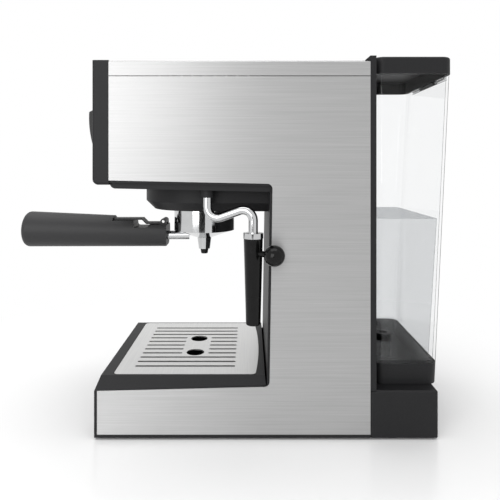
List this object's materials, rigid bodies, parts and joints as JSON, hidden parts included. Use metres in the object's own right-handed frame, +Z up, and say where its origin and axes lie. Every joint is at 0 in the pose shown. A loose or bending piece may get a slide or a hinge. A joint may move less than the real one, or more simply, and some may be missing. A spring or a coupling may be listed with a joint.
{
  "type": "espresso machine",
  "caption": "Pump espresso machine with C-shaped brushed steel sides, bayonet portafilter, swinging steam wand, pull-out drip tray and clear lift-off rear water tank",
  "frame": {"origin": "middle of the whole machine's box, with its handle and steam wand, on the counter", "axes": "+Z up, the front with the portafilter faces -Y, +X is on the right of someone facing the front"},
  "size_m": [0.1792, 0.4047, 0.328],
  "materials": {
    "steel": "brushed along its length",
    "grid_steel": "satin steel",
    "black_plastic": "fine matt texture",
    "handle_plastic": "soft matt",
    "gloss_black": "gloss",
    "chrome": "polished",
    "rubber": "matt",
    "cast_aluminium": "as cast",
    "brass": "plain",
    "pump_plastic": "plain",
    "clear_plastic": "clear",
    "lens": "clear red"
  },
  "bodies": {
    "machine": {"side_panel_right": "steel", "side_panel_left": "steel", "top_cover": "steel", "base_plate": "black_plastic", "rubber_feet": "rubber", "column_front": "black_plastic", "head_underside": "black_plastic", "control_panel": "black_plastic", "rocker_pins": "grid_steel", "indicator_lenses": "lens", "control_board": "pump_plastic", "rear_panel": "black_plastic", "tank_dock": "black_plastic", "inlet_seal": "rubber", "cord_gland": "black_plastic", "group_head": "cast_aluminium", "group_gasket": "rubber", "shower_screen": "grid_steel", "screen_screw": "grid_steel", "boiler": "cast_aluminium", "boiler_bolts": "grid_steel", "pump": "pump_plastic", "pump_cradle": "rubber", "suction_hose": "rubber", "pressure_tube": "brass", "steam_valve": "brass", "steam_feed": "brass", "wand_socket": "black_plastic"},
    "portafilter": {"portafilter_bowl": "chrome", "filter_basket": "grid_steel", "spout": "chrome", "spout_tip": "rubber", "handle": "handle_plastic", "clip_pin": "grid_steel"},
    "basket_clip": {"basket_clip": "handle_plastic"},
    "steam_wand": {"steam_pipe": "chrome", "wand_nut": "chrome", "wand_sleeve": "gloss_black", "wand_knob": "gloss_black"},
    "drip_tray": {"drip_tray": "black_plastic"},
    "drip_grid": {"drip_grid": "grid_steel"},
    "water_tank": {"water_tank": "clear_plastic", "tank_foot": "black_plastic", "tank_outlet": "black_plastic", "lid_pin": "grid_steel"},
    "tank_lid": {"tank_lid": "black_plastic"},
    "rocker_power": {"rocker_power": "gloss_black"},
    "rocker_brew": {"rocker_brew": "gloss_black"},
    "rocker_steam": {"rocker_steam": "gloss_black"}
  },
  "joints": [
    {"name": "portafilter_turn", "type": "hinge", "parent": "machine", "child": "portafilter", "pos_m": [-0.00965, -0.02405, 0.18], "axis": [0, 0, 1], "range_deg": [-45, 0]},
    {"name": "clip_flip", "type": "hinge", "parent": "portafilter", "child": "basket_clip", "pos_m": [-0.00965, -0.06405, 0.1776], "axis": [-1, 0, 0], "range_deg": [0, 38]},
    {"name": "wand_swing", "type": "hinge", "parent": "machine", "child": "steam_wand", "pos_m": [0.05635, -0.01555, 0.2], "axis": [0, 0, -1], "range_deg": [0, 90]},
    {"name": "tray_pull", "type": "slide", "parent": "machine", "child": "drip_tray", "axis": [0, -1, 0], "range_m": [0, 0.15]},
    {"name": "grid_lift", "type": "slide", "parent": "drip_tray", "child": "drip_grid", "axis": [0, 0, 1], "range_m": [0, 0.03]},
    {"name": "tank_lift", "type": "slide", "parent": "machine", "child": "water_tank", "axis": [0, 0, 1], "range_m": [0, 0.12]},
    {"name": "lid_open", "type": "hinge", "parent": "water_tank", "child": "tank_lid", "pos_m": [-0.00965, 0.20005, 0.3126], "axis": [-1, 0, 0], "range_deg": [0, 100]},
    {"name": "rocker_power_tilt", "type": "hinge", "parent": "machine", "child": "rocker_power", "pos_m": [-0.05765, -0.10955, 0.264], "axis": [1, 0, 0], "range_deg": [-16, 0]},
    {"name": "rocker_brew_tilt", "type": "hinge", "parent": "machine", "child": "rocker_brew", "pos_m": [-0.00965, -0.10955, 0.264], "axis": [1, 0, 0], "range_deg": [-16, 0]},
    {"name": "rocker_steam_tilt", "type": "hinge", "parent": "machine", "child": "rocker_steam", "pos_m": [0.03835, -0.10955, 0.264], "axis": [1, 0, 0], "range_deg": [-16, 0]}
  ]
}
